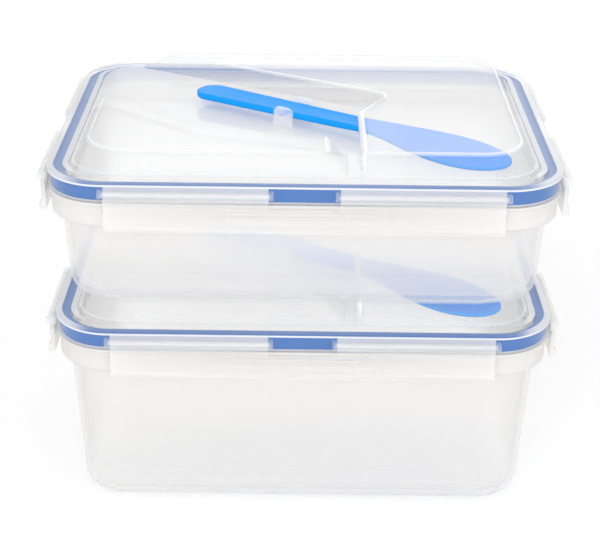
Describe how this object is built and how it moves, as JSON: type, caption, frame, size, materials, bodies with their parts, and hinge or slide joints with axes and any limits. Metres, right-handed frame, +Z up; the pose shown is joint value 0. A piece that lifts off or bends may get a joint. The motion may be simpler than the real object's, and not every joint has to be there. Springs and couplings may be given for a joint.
{
  "type": "bento lunch box",
  "caption": "Stacked lunch box: a shallow container on a deep one, each with a clear sealed lid, hinged latches and a spoon kept in the lid's raised cover.",
  "frame": {"origin": "centre of the lower container's base, on the surface it stands on", "axes": "+Z up, -Y to the front, +X to the right, towards the spoons' bowls"},
  "size_m": [0.2296, 0.1806, 0.1707],
  "materials": {
    "frosted_body": "translucent moulded plastic, slightly frosted",
    "clear_lid": "clear moulded plastic",
    "clear_cover": "clear moulded plastic",
    "clear_latch": "translucent moulded plastic",
    "blue_seal": "soft silicone",
    "blue_spoon": "satin moulded plastic"
  },
  "bodies": {
    "lower_container": {"lower_container": "frosted_body"},
    "lower_lid": {"lower_lid_panel": "clear_lid", "lower_lid_cover": "clear_cover", "lower_seal": "blue_seal"},
    "lower_latch_front": {"lower_latch_front": "clear_latch"},
    "lower_latch_back": {"lower_latch_back": "clear_latch"},
    "lower_latch_left": {"lower_latch_left": "clear_latch"},
    "lower_latch_right": {"lower_latch_right": "clear_latch"},
    "lower_spoon": {"lower_spoon": "blue_spoon"},
    "upper_container": {"upper_container": "frosted_body"},
    "upper_lid": {"upper_lid_panel": "clear_lid", "upper_lid_cover": "clear_cover", "upper_seal": "blue_seal"},
    "upper_latch_front": {"upper_latch_front": "clear_latch"},
    "upper_latch_back": {"upper_latch_back": "clear_latch"},
    "upper_latch_left": {"upper_latch_left": "clear_latch"},
    "upper_latch_right": {"upper_latch_right": "clear_latch"},
    "upper_spoon": {"upper_spoon": "blue_spoon"}
  },
  "joints": [
    {"name": "lower_lid_lift", "type": "slide", "parent": "lower_container", "child": "lower_lid", "axis": [0, 0, 1], "range_m": [0, 0.04]},
    {"name": "upper_container_lift", "type": "slide", "parent": "lower_lid", "child": "upper_container", "axis": [0, 0, 1], "range_m": [0, 0.03]},
    {"name": "upper_lid_lift", "type": "slide", "parent": "upper_container", "child": "upper_lid", "axis": [0, 0, 1], "range_m": [0, 0.04]},
    {"name": "lower_latch_front_hinge", "type": "hinge", "parent": "lower_lid", "child": "lower_latch_front", "pos_m": [0, -0.08865, 0.0875], "axis": [-1, 0, 0], "range_deg": [-5, 150]},
    {"name": "lower_latch_back_hinge", "type": "hinge", "parent": "lower_lid", "child": "lower_latch_back", "pos_m": [0, 0.08865, 0.0875], "axis": [1, 0, 0], "range_deg": [-5, 150]},
    {"name": "lower_latch_left_hinge", "type": "hinge", "parent": "lower_lid", "child": "lower_latch_left", "pos_m": [-0.11315, 0, 0.0875], "axis": [0, 1, 0], "range_deg": [-5, 150]},
    {"name": "lower_latch_right_hinge", "type": "hinge", "parent": "lower_lid", "child": "lower_latch_right", "pos_m": [0.11315, 0, 0.0875], "axis": [0, -1, 0], "range_deg": [-5, 150]},
    {"name": "lower_spoon_slide", "type": "slide", "parent": "lower_lid", "child": "lower_spoon", "axis": [-0.8434, 0.5373, 0], "range_m": [0, 0.028]},
    {"name": "upper_latch_front_hinge", "type": "hinge", "parent": "upper_lid", "child": "upper_latch_front", "pos_m": [0, -0.08865, 0.1567], "axis": [-1, 0, 0], "range_deg": [-5, 150]},
    {"name": "upper_latch_back_hinge", "type": "hinge", "parent": "upper_lid", "child": "upper_latch_back", "pos_m": [0, 0.08865, 0.1567], "axis": [1, 0, 0], "range_deg": [-5, 150]},
    {"name": "upper_latch_left_hinge", "type": "hinge", "parent": "upper_lid", "child": "upper_latch_left", "pos_m": [-0.11315, 0, 0.1567], "axis": [0, 1, 0], "range_deg": [-5, 150]},
    {"name": "upper_latch_right_hinge", "type": "hinge", "parent": "upper_lid", "child": "upper_latch_right", "pos_m": [0.11315, 0, 0.1567], "axis": [0, -1, 0], "range_deg": [-5, 150]},
    {"name": "upper_spoon_slide", "type": "slide", "parent": "upper_lid", "child": "upper_spoon", "axis": [-0.8434, 0.5373, 0], "range_m": [0, 0.028]}
  ]
}
